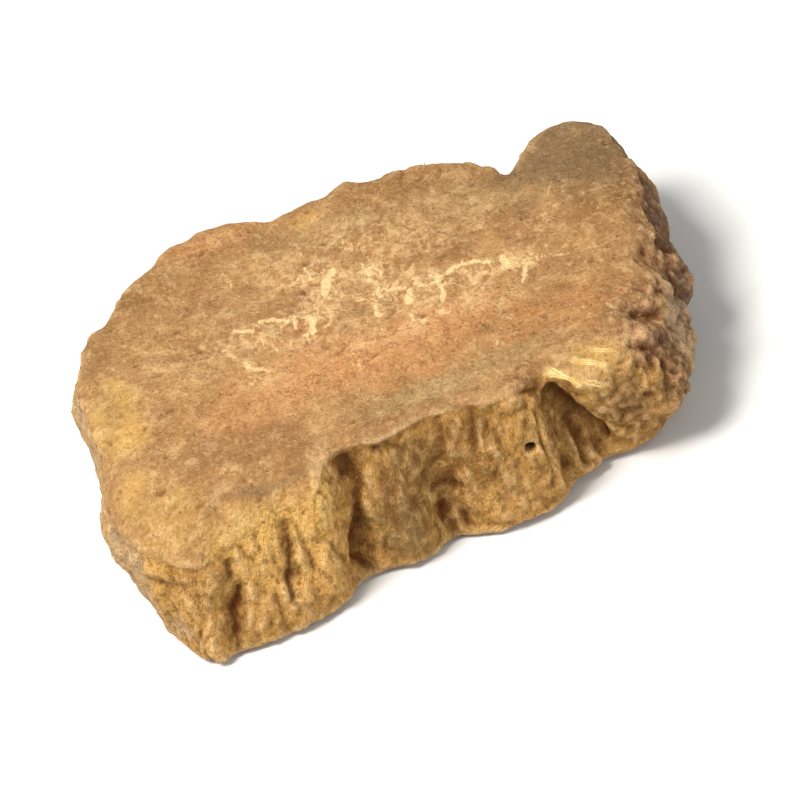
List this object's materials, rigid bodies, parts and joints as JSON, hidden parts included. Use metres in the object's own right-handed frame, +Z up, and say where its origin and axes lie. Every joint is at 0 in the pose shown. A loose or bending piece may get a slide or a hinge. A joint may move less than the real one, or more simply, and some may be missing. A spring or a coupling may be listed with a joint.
{
  "type": "chinese rhubarb root slice",
  "caption": "Thick cross-cut slice of dried Chinese rhubarb root, lying on its flat lower cut face, with a marbled upper cut face and a fluted, shrunken side wall.",
  "frame": {"origin": "under the middle of the bounding box, on the flat lower cut face that the slice rests on", "axes": "+Z up, out of the marbled upper cut face; +X along the longer side of the cut face; -Y towards the fluted front side of the root"},
  "size_m": [0.065, 0.052, 0.0163],
  "materials": {
    "dried_root": "matte, rough-cut fibrous face with pale marbling, and a wrinkled yellow-ochre side with brown hollows"
  },
  "bodies": {
    "root": {"root_slice": "dried_root"}
  },
  "joints": []
}
